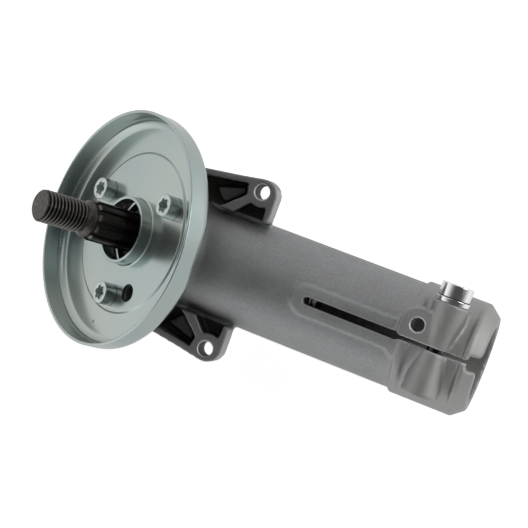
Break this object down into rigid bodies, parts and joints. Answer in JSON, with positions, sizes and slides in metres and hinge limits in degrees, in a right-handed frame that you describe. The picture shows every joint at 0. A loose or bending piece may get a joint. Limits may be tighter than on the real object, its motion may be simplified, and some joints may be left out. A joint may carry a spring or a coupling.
{
  "type": "brush cutter gear head",
  "caption": "Angled bevel gear head for a brush cutter, with a split clamp for the drive tube, side ears, a guard dish and a splined output shaft with a left-hand thread.",
  "frame": {"origin": "centre of the clamp's mouth, where the drive tube goes in", "axes": "+X out of the mouth along the drive tube, +Z on the side that carries the cutting tool, +Y across"},
  "size_m": [0.1794, 0.09, 0.0976],
  "materials": {
    "cast_aluminium": "bead blasted die casting, satin grey",
    "zinc_sheet": "zinc plated pressed steel, smooth with a cool sheen",
    "zinc_screws": "zinc plated, satin",
    "bright_bolt": "bright nickel plated steel",
    "phosphated_steel": "dark phosphated and oiled steel",
    "gear_steel": "case hardened and ground steel",
    "bearing_steel": "ground bearing steel",
    "cage_steel": "pressed steel sheet",
    "seal_rubber": "matt black",
    "spring_steel": "blackened spring steel",
    "plug_steel": "zinc plated, satin",
    "fibre": "sealing fibre"
  },
  "bodies": {
    "housing": {"gear_housing": "cast_aluminium", "guard_dish": "zinc_sheet", "dish_screw_a": "zinc_screws", "dish_screw_b": "zinc_screws", "dish_screw_c": "zinc_screws", "clamp_bolt": "bright_bolt", "clamp_washer": "bright_bolt", "grease_plug": "plug_steel", "grease_plug_washer": "fibre", "output_bearing_outer": "bearing_steel", "output_bearing_seal": "seal_rubber", "output_bearing_circlip": "spring_steel", "end_bearing_outer": "bearing_steel", "pinion_front_bearing_outer": "bearing_steel", "pinion_rear_bearing_outer": "bearing_steel", "pinion_rear_bearing_seal": "seal_rubber", "pinion_outer_spacer": "gear_steel", "pinion_housing_circlip": "spring_steel"},
    "output_rotor": {"output_shaft": "phosphated_steel", "driven_gear": "gear_steel", "gear_key": "gear_steel", "output_bearing_inner": "bearing_steel", "output_shaft_circlip": "spring_steel", "end_bearing_inner": "bearing_steel"},
    "pinion_rotor": {"pinion_shaft": "gear_steel", "pinion_front_bearing_inner": "bearing_steel", "pinion_rear_bearing_inner": "bearing_steel", "pinion_spacer": "gear_steel", "pinion_shaft_circlip": "spring_steel"},
    "output_bearing_ball_set": {"output_bearing_balls": "bearing_steel", "output_bearing_cage": "cage_steel"},
    "end_bearing_ball_set": {"end_bearing_balls": "bearing_steel", "end_bearing_cage": "cage_steel"},
    "pinion_front_bearing_ball_set": {"pinion_front_bearing_balls": "bearing_steel", "pinion_front_bearing_cage": "cage_steel"},
    "pinion_rear_bearing_ball_set": {"pinion_rear_bearing_balls": "bearing_steel", "pinion_rear_bearing_cage": "cage_steel"}
  },
  "joints": [
    {"name": "output_spin", "type": "hinge", "parent": "housing", "child": "output_rotor", "pos_m": [-0.12466, 0, 0], "axis": [-0.5736, 0, 0.8192], "continuous": true},
    {"name": "pinion_spin", "type": "hinge", "parent": "housing", "child": "pinion_rotor", "pos_m": [-0.09, 0, 0], "axis": [1, 0, 0], "continuous": true},
    {"name": "output_bearing_balls_spin", "type": "hinge", "parent": "housing", "child": "output_bearing_ball_set", "pos_m": [-0.12466, 0, 0], "axis": [-0.5736, 0, 0.8192], "continuous": true},
    {"name": "end_bearing_balls_spin", "type": "hinge", "parent": "housing", "child": "end_bearing_ball_set", "pos_m": [-0.12466, 0, 0], "axis": [-0.5736, 0, 0.8192], "continuous": true},
    {"name": "pinion_front_bearing_balls_spin", "type": "hinge", "parent": "housing", "child": "pinion_front_bearing_ball_set", "pos_m": [-0.09, 0, 0], "axis": [1, 0, 0], "continuous": true},
    {"name": "pinion_rear_bearing_balls_spin", "type": "hinge", "parent": "housing", "child": "pinion_rear_bearing_ball_set", "pos_m": [-0.09, 0, 0], "axis": [1, 0, 0], "continuous": true}
  ],
  "couplings": [
    {"joint": "pinion_spin", "follows": "output_spin", "ratio": 1.3846},
    {"joint": "output_bearing_balls_spin", "follows": "output_spin", "ratio": 0.381},
    {"joint": "end_bearing_balls_spin", "follows": "output_spin", "ratio": 0.3678},
    {"joint": "pinion_front_bearing_balls_spin", "follows": "output_spin", "ratio": 0.5275},
    {"joint": "pinion_rear_bearing_balls_spin", "follows": "output_spin", "ratio": 0.5275}
  ]
}
